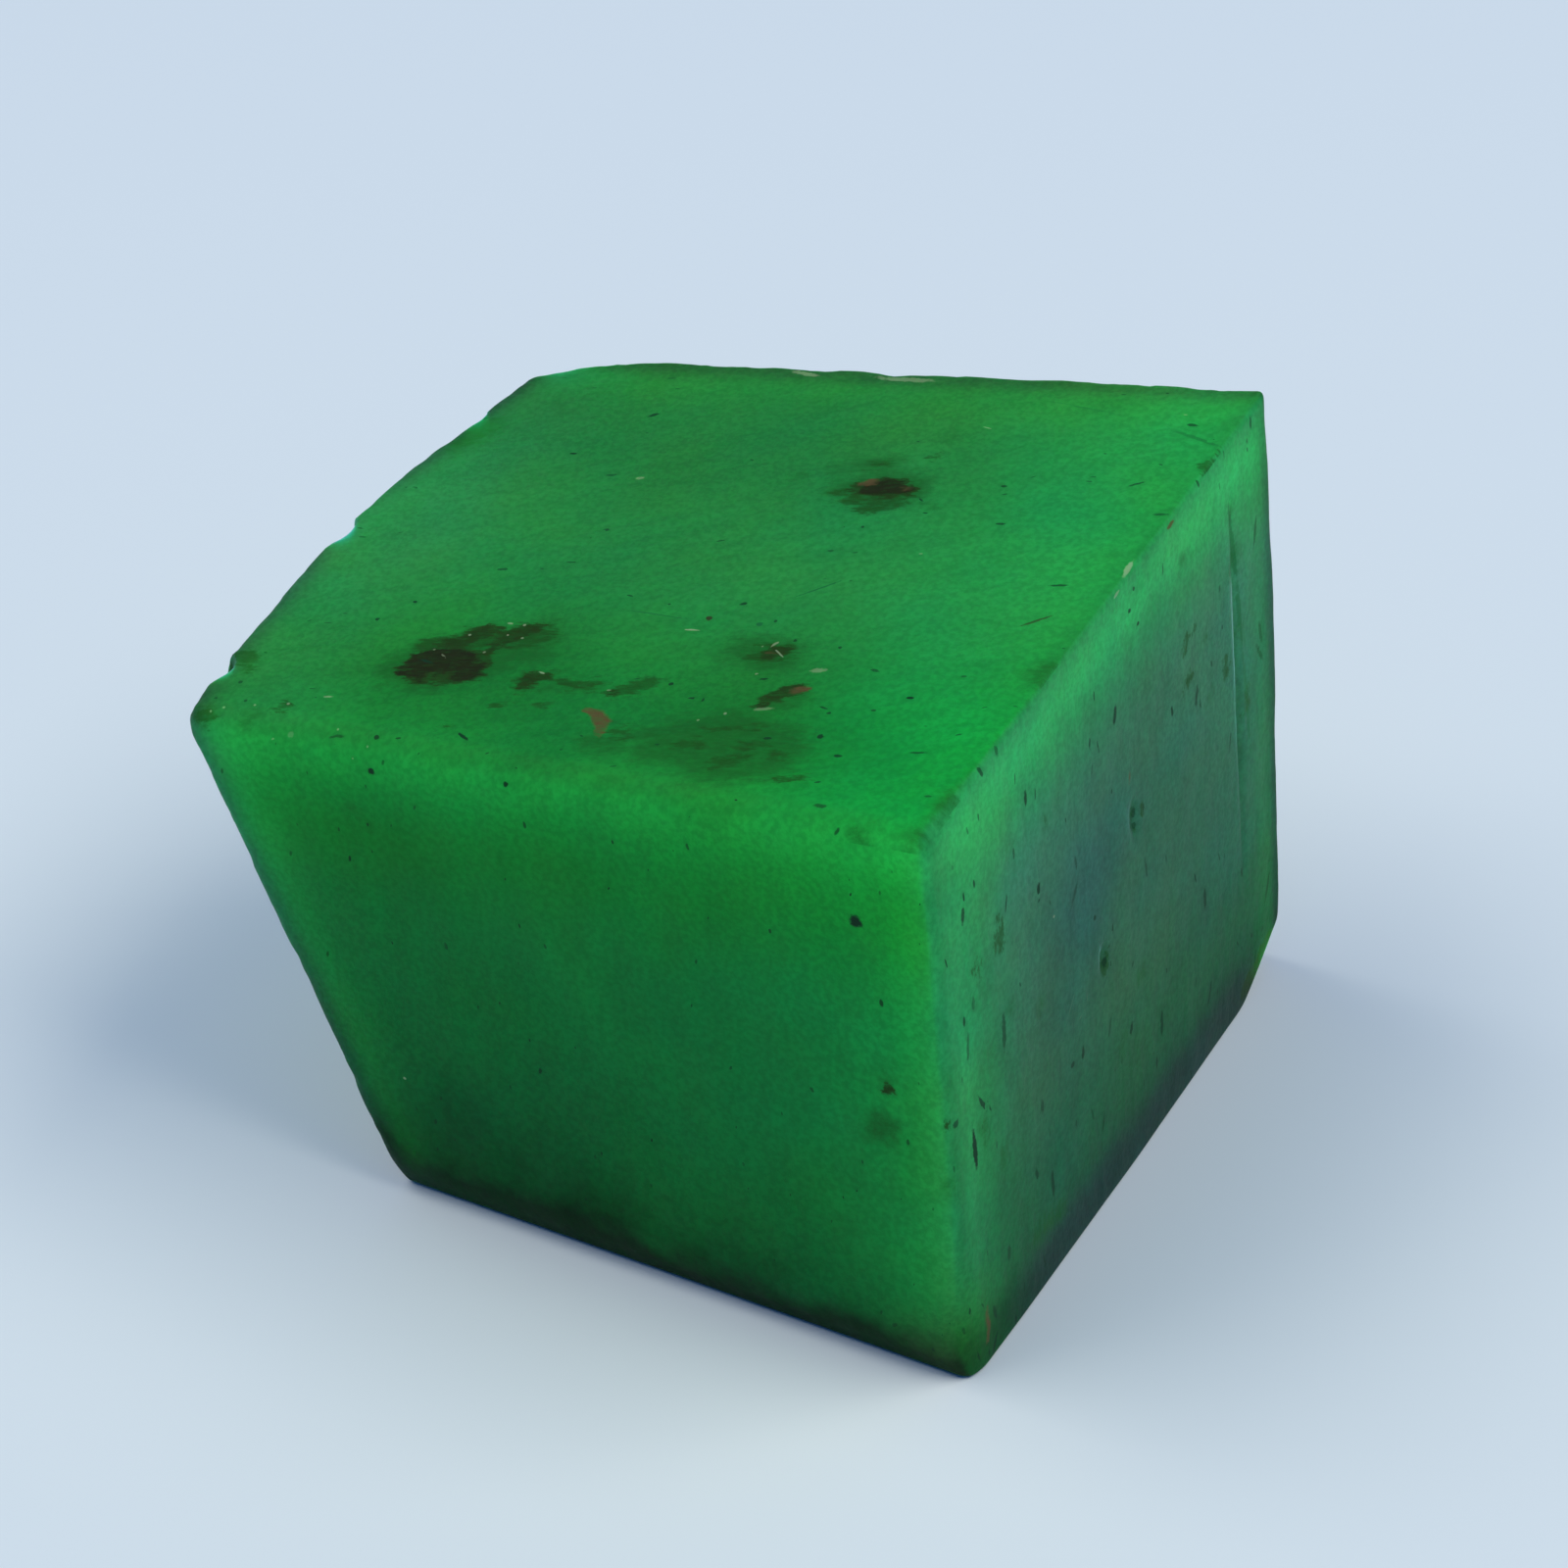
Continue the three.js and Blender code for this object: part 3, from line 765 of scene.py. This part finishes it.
# The middle, the radius, the kind and the strength of each dot.
DOTS = {
    "dot_left": ((-8.32, -5.35, 14.95), 0.07, DARK, 0.9),
    "dot_far_left": ((-7.74, -4.41, 15.12), 0.06, DARK, 0.9),
    "dot_low_left": ((-5.67, -9.72, 14.76), 0.07, DARK, 0.9),
    "corner_dot": ((-10.5, -8.65, 14.29), 0.07, DARK, 0.8),
    "corner_dot_left": ((-10.76, -9.42, 14.18), 0.05, DARK, 0.8),
    "corner_dot_right": ((-9.9, -9.33, 14.31), 0.05, DARK, 0.8),
    "dot_front": ((0.84, -6.04, 16.22), 0.07, DARK, 0.9),
    "dot_smear": ((1.93, -6.46, 16.35), 0.08, DARK, 0.9),
    "dot_right": ((5.59, -7.12, 16.83), 0.09, DARK, 0.9),
    "dot_over": ((5.36, -6.2, 16.88), 0.06, DARK, 0.8),
    "dot_moth": ((2.21, -3.01, 16.74), 0.06, DARK, 0.8),
    "dot_by_moth": ((3.1, -3.66, 16.81), 0.06, DARK, 0.8),
    "dot_far_moth": ((4.38, -3.66, 16.99), 0.06, DARK, 0.8),
    "dot_middle": ((0.45, -3.28, 16.45), 0.09, BROWN, 1),
    "dot_olive": ((1.86, -3.21, 16.66), 0.09, FAINT, 0.9),
    "eye_dot_right": ((2.54, 1.28, 17.23), 0.05, DARK, 0.8),
    "eye_dot_left": ((2.08, 1.19, 17.15), 0.05, DARK, 0.8),
    "smear_fleck": ((2.8, -6.85, 16.46), 0.045, CREAM, 0.52),
    "smear_fleck_left": ((2.25, -7.25, 16.32), 0.038, CREAM, 0.45),
    "moth_fleck": ((2.8, -5.16, 16.61), 0.045, CREAM, 0.45),
    "corner_fleck": ((-10.67, -9.81, 14.02), 0.038, CREAM, 0.45),
    "corner_fleck_right": ((-10.36, -9.66, 14.15), 0.038, CREAM, 0.45),
    "left_fleck": ((-9.54, -9.43, 14.33), 0.038, CREAM, 0.45),
    "ink_fleck": ((-8.69, -9.15, 14.49), 0.045, CREAM, 0.52),
    "front_left_fleck": ((-8.61, -10.05, 13.95), 0.045, CREAM, 0.45),
    "front_smudge": ((-8.12, -9.95, 14.2), 0.09, CREAM, 0.22),
    "front_fleck_left": ((-6.84, -9.69, 14.6), 0.038, CREAM, 0.45),
    "front_fleck_middle": ((-5.83, -9.91, 14.55), 0.038, CREAM, 0.38),
    "front_fleck_low": ((-6.18, -10.08, 14.18), 0.038, CREAM, 0.38),
    "arm_fleck": ((-5.48, -5.39, 15.36), 0.045, CREAM, 0.6),
    "lobe_fleck": ((-4.25, -4.66, 15.61), 0.045, CREAM, 0.6),
    "lobe_fleck_under": ((-4.01, -5.18, 15.59), 0.038, CREAM, 0.6),
    "lobe_fleck_left": ((-4.46, -5.16, 15.53), 0.03, CREAM, 0.6),
    "lobe_fleck_low": ((-4.68, -5.99, 15.42), 0.038, CREAM, 0.45),
    "blotch_fleck": ((-6.08, -6.17, 15.18), 0.038, CREAM, 0.38),
    "front_dot_right": ((8.12, -10.15, 14.11), 0.19, DARK, 1),
    "front_dot_left": ((-5.62, -10.13, 14), 0.11, DARK, 1),
    "front_edge_dot": ((10.76, -9.82, 8.48), 0.12, DARK, 0.8),
    "side_pit_over": ((10.94, -1.93, 9.55), 0.09, DARK, 0.85),
    "side_white_dot": ((10.73, -4.16, 11.07), 0.053, CREAM, 0.68),
    "side_dot_crease": ((10.28, 0.9, 17.2), 0.08, DARK, 0.9),
    "side_dot_under": ((10.37, 1.33, 16.6), 0.07, DARK, 0.9),
    "side_dot_over": ((10.24, 1.19, 17.7), 0.07, DARK, 0.8),
    "side_dot_foot": ((11.2, -3.58, 5.95), 0.1, DARK, 0.85),
    "front_dot_middle": ((-1.66, -10.11, 14.9), 0.08, DARK, 1),
    "front_fleck": ((-5.13, -10.24, 4.17), 0.053, CREAM, 0.68),
}
# The start, the end, the half width, the kind and the strength of each line.
LINES = {
    "left_dash": ((-7.89, -8.66, 14.66), (-7.69, -8.61, 14.69), 0.034, CREAM, 0.52),
    "seed_cream": ((3.46, -6.52, 16.58), (3.82, -6.38, 16.64), 0.068, CREAM, 0.34),
    "pale_spot": ((4.18, -4.69, 16.87), (4.38, -4.64, 16.9), 0.098, CREAM, 0.38),
    "moth_cream": ((2.42, -4.07, 16.66), (2.58, -3.99, 16.69), 0.045, CREAM, 0.52),
    "moth_cream_top": ((2.6, -4.03, 16.69), (2.7, -3.84, 16.73), 0.045, CREAM, 0.52),
    "moth_cream_right": ((2.74, -4.08, 16.71), (3.14, -4.37, 16.74), 0.025, CREAM, 0.6),
    "arm_tip_fleck": ((-4.73, -4.69, 15.53), (-4.56, -4.69, 15.56), 0.038, CREAM, 0.6),
    "blotch_fleck_low": ((-5.75, -6.32, 15.22), (-5.61, -6.42, 15.23), 0.03, CREAM, 0.38),
    "side_hard_pit": ((11.02, -1.38, 7.87), (11.05, -1.42, 7.71), 0.1, DARK, 0.85),
    "side_pit_trail": ((11.07, -1.31, 8.04), (11.07, -1.03, 8.33), 0.04, DARK, 0.5),
    "side_scratch_left": ((11.08, -3.87, 7.42), (11.04, -3.23, 8.14), 0.026, CREAM, 0.19),
    "side_scratch_foot": ((11.12, -3.32, 7.04), (11.13, -2.6, 7.18), 0.026, CREAM, 0.17),
    "side_scratch_top": ((11.13, -2.6, 7.18), (11.08, -2.5, 7.74), 0.026, CREAM, 0.17),
    "side_dash_top": ((10.77, 0.71, 11.26), (10.78, 0.72, 11), 0.07, DARK, 0.6),
    "side_dash_low": ((10.79, 0.72, 10.88), (10.81, 0.7, 10.68), 0.08, DARK, 0.6),
    "side_dash_right": ((10.88, 1.1, 11.2), (10.9, 1.08, 10.96), 0.06, DARK, 0.5),
    "vein_side_top": ((10.51, 6.85, 17.05), (10.73, 7.23, 14.64), 0.11, FAINT, 0.6),
    "vein_side_middle": ((10.73, 7.23, 14.64), (10.96, 7.45, 12.37), 0.1, FAINT, 0.6),
    "vein_side_foot": ((10.96, 7.45, 12.37), (11.24, 7.88, 8.94), 0.1, FAINT, 0.5),
    "vein_pale": ((10.67, 6.78, 15.42), (10.88, 6.7, 13.21), 0.045, CREAM, 0.08),
    "vein_top": ((8.78, 7.14, 18.73), (10.26, 6.7, 18.88), 0.07, FAINT, 0.55),
    "dash": ((8.47, 0, 17.97), (8.93, 0.12, 18.03), 0.045, DARK, 0.8),
    "second_dash": ((8.5, -1.78, 17.8), (9.04, -1.22, 17.92), 0.05, BROWN, 0.8),
    "crease_red": ((10.28, 3.3, 18.35), (10.28, 3.55, 18.38), 0.08, RUST, 0.9),
    "spot_fleck": ((-2.77, -6.4, 15.65), (-2.62, -6.43, 15.65), 0.034, CREAM, 0.68),
    "long_fleck": ((0.08, -3.88, 16.33), (0.4, -3.83, 16.38), 0.034, CREAM, 0.68),
    "crease_chip": ((10.12, 0.85, 18.27), (10.1, 1.4, 18.35), 0.083, CREAM, 0.64),
    "crease_small_chip": ((10.17, 0.15, 18.03), (10.17, 0.38, 18.08), 0.053, CREAM, 0.6),
    "back_edge_left": ((-2.75, 7.72, 17.1), (-2.1, 7.68, 17.18), 0.09, CREAM, 0.45),
    "back_edge_right": ((-0.5, 7.95, 17.5), (1.3, 8.07, 17.7), 0.105, CREAM, 0.41),
    "long_scratch": ((2.18, -1.97, 16.85), (3.13, -0.97, 17.08), 0.035, FAINT, 0.8),
    "level_scratch": ((-2.01, -3.45, 16.08), (-0.1, -3.47, 16.36), 0.03, FAINT, 0.6),
    "vein_top_start": ((5.2, 7.75, 18.25), (7.6, 7.45, 18.55), 0.055, FAINT, 0.5),
}
SPECK_SEED = 11
SPECK_COUNT = 640
SPECK_FACING = 0.7
THINNEST_SPECK = 0.02
SPECK_SPREAD = 0.05
SPECK_STRETCH = 3.5
SPECK_LEAN = 0.25
# Factors for the width and the length of specks. On the front and back both go by the width.
SIDE_SPECKS = (1.5, 2)
FRONT_SPECKS = (0.8, 0.9)
PALE_SHARE = 0.06
PALE_STRENGTH = 0.45
DARK_STRENGTHS = (0.5, 1)
# The reach of a mark beyond its own edge, over which vertices keep their place in it.
MARK_REACH = 0.32
SHORTEST = 1e-6
FAR_AWAY = 9.0


def random_specks(places, normals):
    """Small dark and pale marks, drawn along the grain of the top and down the sides."""
    draws = np.random.default_rng(SPECK_SEED)
    specks = []
    for _ in range(SPECK_COUNT):
        number = draws.integers(len(places))
        place, normal = Vector(places[number]), Vector(normals[number])
        width = THINNEST_SPECK + SPECK_SPREAD * draws.random() ** 2
        length = width * (1 + SPECK_STRETCH * draws.random() ** 2)
        if normal.x > SPECK_FACING:
            width, length = SIDE_SPECKS[0] * width, SIDE_SPECKS[1] * length
        elif abs(normal.y) > SPECK_FACING:
            width, length = FRONT_SPECKS[0] * width, FRONT_SPECKS[1] * width
        lean = draws.normal(0, SPECK_LEAN)
        level = abs(normal.z) > SPECK_FACING
        if level:
            along = Vector((math.cos(LEVEL_GRAIN + lean), math.sin(LEVEL_GRAIN + lean), 0))
        else:
            along = Vector((normal.y * lean, -normal.x * lean, 1))
        along = (along - along.dot(normal) * normal).normalized() * length
        pale = draws.random() < PALE_SHARE and level
        kind, strength = (CREAM, PALE_STRENGTH) if pale else (DARK, draws.uniform(*DARK_STRENGTHS))
        specks.append((place - along, place + along, width, kind, strength))
    return specks


def fine_mark_fields(places, normals):
    """Each vertex's place in the nearest mark's frame, the mark's number, and its look."""
    offsets = np.full((len(places), 3), FAR_AWAY)
    numbers = np.zeros(len(places))
    looks = np.zeros((len(places), 3))
    nearest = np.full(len(places), MARK_REACH)
    marks = [(middle, middle, *look) for middle, *look in DOTS.values()]
    marks += [*LINES.values(), *random_specks(places, normals)]
    for number, (start, end, half_width, kind, strength) in enumerate(marks, 1):
        start, end = np.array(start), np.array(end)
        half_length = norm(end - start) / 2
        along = (end - start) / max(2 * half_length, SHORTEST)
        offset = places - (start + end) / 2
        close = np.nonzero(np.abs(offset).max(axis=1) < half_length + half_width + MARK_REACH)[0]
        run = (offset[close] @ along)[:, None]
        aside = offset[close] - run * along
        beyond = np.maximum(np.abs(run[:, 0]) - half_length, 0)
        gap = np.hypot(beyond, norm(aside, axis=1)) - half_width
        mine = gap < nearest[close]
        held = close[mine]
        nearest[held] = gap[mine]
        offsets[held] = (aside / half_width + run * along / (half_length + half_width))[mine]
        numbers[held] = number
        looks[held] = (kind, strength, 0)
    # The square of the number tells, between vertices, whether all of them hold the same mark.
    numbers = np.stack((numbers, numbers ** 2, 0 * numbers), axis=1)
    return {"mark_offset": offsets, "mark_number": numbers, "mark_look": looks}


# ---- The finish


class Tree:
    """Short calls that add nodes to a material or a world and join them."""

    def __init__(self, owner):
        owner.use_nodes = True
        self.nodes = owner.node_tree.nodes
        self.links = owner.node_tree.links

    def add(self, kind, inputs=(), **settings):
        node = self.nodes.new(kind)
        for name, value in settings.items():
            setattr(node, name, value)
        self.fill(node, dict(inputs))
        return node

    def fill(self, node, inputs):
        for name, value in inputs.items():
            self.feed(node.inputs[name], value)

    def feed(self, socket, value):
        if isinstance(value, bpy.types.NodeSocket):
            self.links.new(value, socket)
        else:
            socket.default_value = value

    def math(self, operation, *values):
        return self.add("ShaderNodeMath", enumerate(values), operation=operation).outputs[0]

    def vector(self, operation, *values):
        node = self.add("ShaderNodeVectorMath", enumerate(values), operation=operation)
        return node.outputs["Value" if operation in ("LENGTH", "DOT_PRODUCT") else "Vector"]

    def scaled(self, vector, scale):
        node = self.add("ShaderNodeVectorMath", {0: vector, "Scale": scale}, operation="SCALE")
        return node.outputs["Vector"]

    def span(self, value, low, high, start=0.0, end=1.0):
        """A smooth change from start to end as the value goes from low to high."""
        node = self.add("ShaderNodeMapRange", {"Value": value, "From Min": low, "From Max": high,
                                               "To Min": start, "To Max": end},
                        interpolation_type="SMOOTHSTEP")
        return node.outputs["Result"]

    def turned(self, vector, angle):
        node = self.add("ShaderNodeMapping", {"Vector": vector, "Rotation": (0, 0, -angle)})
        return node.outputs["Vector"]

    def noise(self, vector, scales, detail, roughness):
        """Noise that changes by a scale of its own along each axis."""
        vector = self.vector("MULTIPLY", vector, scales)
        return self.add("ShaderNodeTexNoise", {"Vector": vector, "Scale": 1.0, "Detail": detail,
                                               "Roughness": roughness}).outputs

    def mix(self, share, first, second):
        """The colour between two. These inputs and outputs are those of the node's colours."""
        node = self.add("ShaderNodeMix", {0: share}, data_type="RGBA")
        self.feed(node.inputs[6], first)
        self.feed(node.inputs[7], second)
        return node.outputs[2]

    def ramp(self, value, stops):
        node = self.add("ShaderNodeValToRGB", {"Fac": value})
        elements = node.color_ramp.elements
        while len(elements) < len(stops):
            elements.new(1)
        for element, (place, colour) in zip(elements, stops):
            element.position = place
            element.color = (*colour, 1)
        return node.outputs["Color"]


# The layers of stain: the colour, how strongly it covers, how soft and how ragged its edge is.
STAIN_LOOKS = (
    ((0.010, 0.112, 0.014), 0.78, 0.36, 1.2),
    ((0.012, 0.076, 0.008), 0.80, 0.12, 1.5),
    ((0.015, 0.044, 0.005), 0.96, 0.07, 0.9),
    ((0.015, 0.019, 0.004), 0.98, 0.07, 0.9),
    ((0.115, 0.075, 0.026), 0.95, 0.06, 0.3),
)
MARK_COLOURS = (
    (0.0, (0.006, 0.040, 0.014)),
    (0.25, (0.030, 0.055, 0.014)),
    (0.5, (0.110, 0.085, 0.018)),
    (0.75, (0.340, 0.440, 0.240)),
    (1.0, (0.010, 0.130, 0.035)),
)
# How much the two numbers kept for a mark may differ from those of a single mark.
SAME_MARK = 0.05
# Where a mark ends, in shares of its width, and how ragged it is.
MARK_END = (1.2, 0.7)
MARK_RAGGEDNESS = 1.2

# Most of a noise lies between these values.
NOISE_SPAN = (0.3, 0.7)
# The turn of the streaks of colour, and how many changes a millimetre each noise has.
STREAK_TURN = math.radians(28)
STREAK_SCALES = (0.3, 2.6, 0.3)
DROP_SCALES = (1.6, 1.6, 0.7)
FINE_SCALES = (6, 6, 6)
FIBRE_SCALES = (1.5, 4, 2)
WEAVE_SCALES = (3, 10, 5)
# How dark and pale the streaks, the fine mottle and the drops make the stone.
STREAK_TONES = (0.95, 1.05)
FINE_TONES = (0.88, 1.12)
DROP_TONE = 0.6
# The height of the fine mottle, the streaks and the drops, in millimetres.
FINE_RELIEF = 0.003
STREAK_RELIEF = 0.010
DROP_RELIEF = 0.04
ROUGHNESS = (0.56, 0.66)
SPECULAR_LEVEL = 0.08
# How far red, green and blue light runs in the stone, inside it and at its edges.
LIGHT_RADIUS = (0.15, 1.0, 0.4)
LIGHT_SCALES = (0.01, 0.0005)


def build_material():
    material = bpy.data.materials.new("milky_emerald")
    tree = Tree(material)
    place = tree.scaled(tree.add("ShaderNodeTexCoord").outputs["Object"], 1 / MM)

    def kept(name):
        return tree.add("ShaderNodeAttribute", attribute_name=name).outputs["Vector"]

    def parts(vector):
        return tree.add("ShaderNodeSeparateXYZ", {0: vector}).outputs

    on_side, at_edge, _ = parts(kept("zone"))

    # Streaks across the stone, drops down its sides and a fine mottle.
    streaks = tree.noise(tree.turned(place, STREAK_TURN), STREAK_SCALES, 3.0, 0.6)["Fac"]
    drops = tree.noise(place, DROP_SCALES, 4.0, 0.68)["Fac"]
    fine = tree.noise(place, FINE_SCALES, 2.0, 0.6)
    colour = tree.scaled(kept("body_colour_with_painted_light"), tree.span(streaks, *NOISE_SPAN, *STREAK_TONES))
    side_tone = tree.math("MULTIPLY_ADD", tree.math("SUBTRACT", drops, 0.5),
                          tree.math("MULTIPLY", on_side, DROP_TONE), 1.0)
    colour = tree.scaled(colour, side_tone)
    colour = tree.scaled(colour, tree.span(fine["Fac"], *NOISE_SPAN, *FINE_TONES))

    # Stains, with their edges broken up by fibres.
    along = tree.turned(place, LEVEL_GRAIN)
    fibres = tree.noise(along, FIBRE_SCALES, 4.0, 0.7)["Fac"]
    weave = tree.noise(along, WEAVE_SCALES, 3.0, 0.65)
    weave = tree.span(weave["Fac"], 0.35, 0.6, 0.7, 1.0)
    push = tree.math("SUBTRACT", fibres, 0.5)
    gaps = (*parts(kept("soft_stain_gap")), *parts(kept("sharp_stain_gap")))
    for gap, (stain, cover, softness, raggedness) in zip(gaps, STAIN_LOOKS):
        edge = tree.math("MULTIPLY_ADD", push, raggedness, gap)
        share = tree.math("MULTIPLY", tree.span(edge, softness, -softness, 0.0, cover), weave)
        colour = tree.mix(share, colour, (*stain, 1))

    # Fine marks.
    number, number_square, _ = parts(kept("mark_number"))
    kind, strength, _ = parts(kept("mark_look"))
    mixed = tree.math("SUBTRACT", number_square, tree.math("MULTIPLY", number, number))
    single = tree.math("MULTIPLY", tree.math("LESS_THAN", mixed, SAME_MARK),
                       tree.math("GREATER_THAN", number, 0.5))
    ragged = tree.vector("SUBTRACT", fine["Color"], (0.5, 0.5, 0.5))
    ragged = tree.scaled(ragged, MARK_RAGGEDNESS)
    away = tree.vector("LENGTH", tree.vector("ADD", kept("mark_offset"), ragged))
    mark = tree.math("MULTIPLY", tree.span(away, *MARK_END), single)
    colour = tree.mix(tree.math("MULTIPLY", mark, strength), colour, tree.ramp(kind, MARK_COLOURS))

    relief = tree.math("MULTIPLY", fine["Fac"], FINE_RELIEF)
    relief = tree.math("MULTIPLY_ADD", streaks, STREAK_RELIEF, relief)
    drops = tree.math("MULTIPLY", drops, on_side)
    relief = tree.math("MULTIPLY_ADD", drops, DROP_RELIEF, relief)
    bump = tree.add("ShaderNodeBump", {"Height": relief, "Distance": MM, "Strength": 1.0})
    tree.fill(tree.nodes["Principled BSDF"], {
        "Base Color": colour,
        "Roughness": tree.span(streaks, *NOISE_SPAN, *ROUGHNESS),
        "Specular IOR Level": SPECULAR_LEVEL,
        "Subsurface Weight": 1,
        "Subsurface Radius": LIGHT_RADIUS,
        "Subsurface Scale": tree.span(at_edge, 0.0, 1.0, *LIGHT_SCALES),
        "Normal": bump.outputs["Normal"],
    })
    return material


noise.seed_set(CLOUD_SEED)
stone = build_stone()
stone.data.materials.append(build_material())
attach(stone, "root")
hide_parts("emerald")

# ---- The floor, the light and the camera

FLOOR_SIZE = 1.2
FLOOR_COLOUR = (0.80, 0.84, 0.88, 1)
WORLD_COLOUR = (0.08, 0.37, 1.0, 1)
WORLD_STRENGTH = 0.38


def build_floor():
    bpy.ops.mesh.primitive_plane_add(size=FLOOR_SIZE)
    floor = bpy.context.object
    floor.name = "floor"
    material = bpy.data.materials.new("pale_floor")
    tree = Tree(material)
    tree.fill(tree.nodes["Principled BSDF"], {"Base Color": FLOOR_COLOUR, "Roughness": 0.9,
                                              "Specular IOR Level": 0.1})
    floor.data.materials.append(material)


def build_world():
    world = bpy.data.worlds.new("soft_room")
    tree = Tree(world)
    tree.fill(tree.nodes["Background"], {"Color": WORLD_COLOUR, "Strength": WORLD_STRENGTH})
    bpy.context.scene.world = world


# The camera's place, its tilt up from straight down and its turn to the left of the y axis.
CAMERA_PLACE = Vector((45.24, -85.68, 79.35)) * MM
CAMERA_TILT = math.radians(54)
CAMERA_TURN = math.radians(27.36076)
CAMERA_LENS = 101.25
SENSOR_WIDTH = 36


def build_camera():
    data = bpy.data.cameras.new("camera")
    data.sensor_width = SENSOR_WIDTH
    data.lens = CAMERA_LENS
    data.clip_start = 0.01
    data.clip_end = 10
    camera = bpy.data.objects.new("camera", data)
    camera.location = CAMERA_PLACE
    camera.rotation_euler = (CAMERA_TILT, 0, CAMERA_TURN)
    bpy.context.collection.objects.link(camera)
    bpy.context.scene.camera = camera


# Two softboxes, to the right and to the left of the view: the turn from the x axis, in
# degrees, and the power.
SOFTBOXES = {"softbox_right": (16, 1.3), "softbox_left": (205, 1.1)}
SOFTBOX_RISE = math.radians(59)
SOFTBOX_DISTANCE = 0.5
SOFTBOX_SIZE = (0.38, 0.24)
SOFTBOX_COLOUR = (1.0, 0.98, 0.79)


def build_softbox(name, degrees, power):
    data = bpy.data.lights.new(name, "AREA")
    data.shape = "RECTANGLE"
    data.size, data.size_y = SOFTBOX_SIZE
    data.energy = power
    data.color = SOFTBOX_COLOUR
    turn = Matrix.Rotation(math.radians(degrees), 3, "Z")
    outward = turn @ Matrix.Rotation(-SOFTBOX_RISE, 3, "Y") @ Vector((1, 0, 0))
    light = bpy.data.objects.new(name, data)
    light.location = outward * SOFTBOX_DISTANCE
    light.rotation_euler = outward.to_track_quat("Z", "Y").to_euler()
    bpy.context.collection.objects.link(light)


build_floor()
build_world()
for softbox, (degrees, power) in SOFTBOXES.items():
    build_softbox(softbox, degrees, power)
build_camera()
bpy.context.scene.view_settings.view_transform = "Standard"
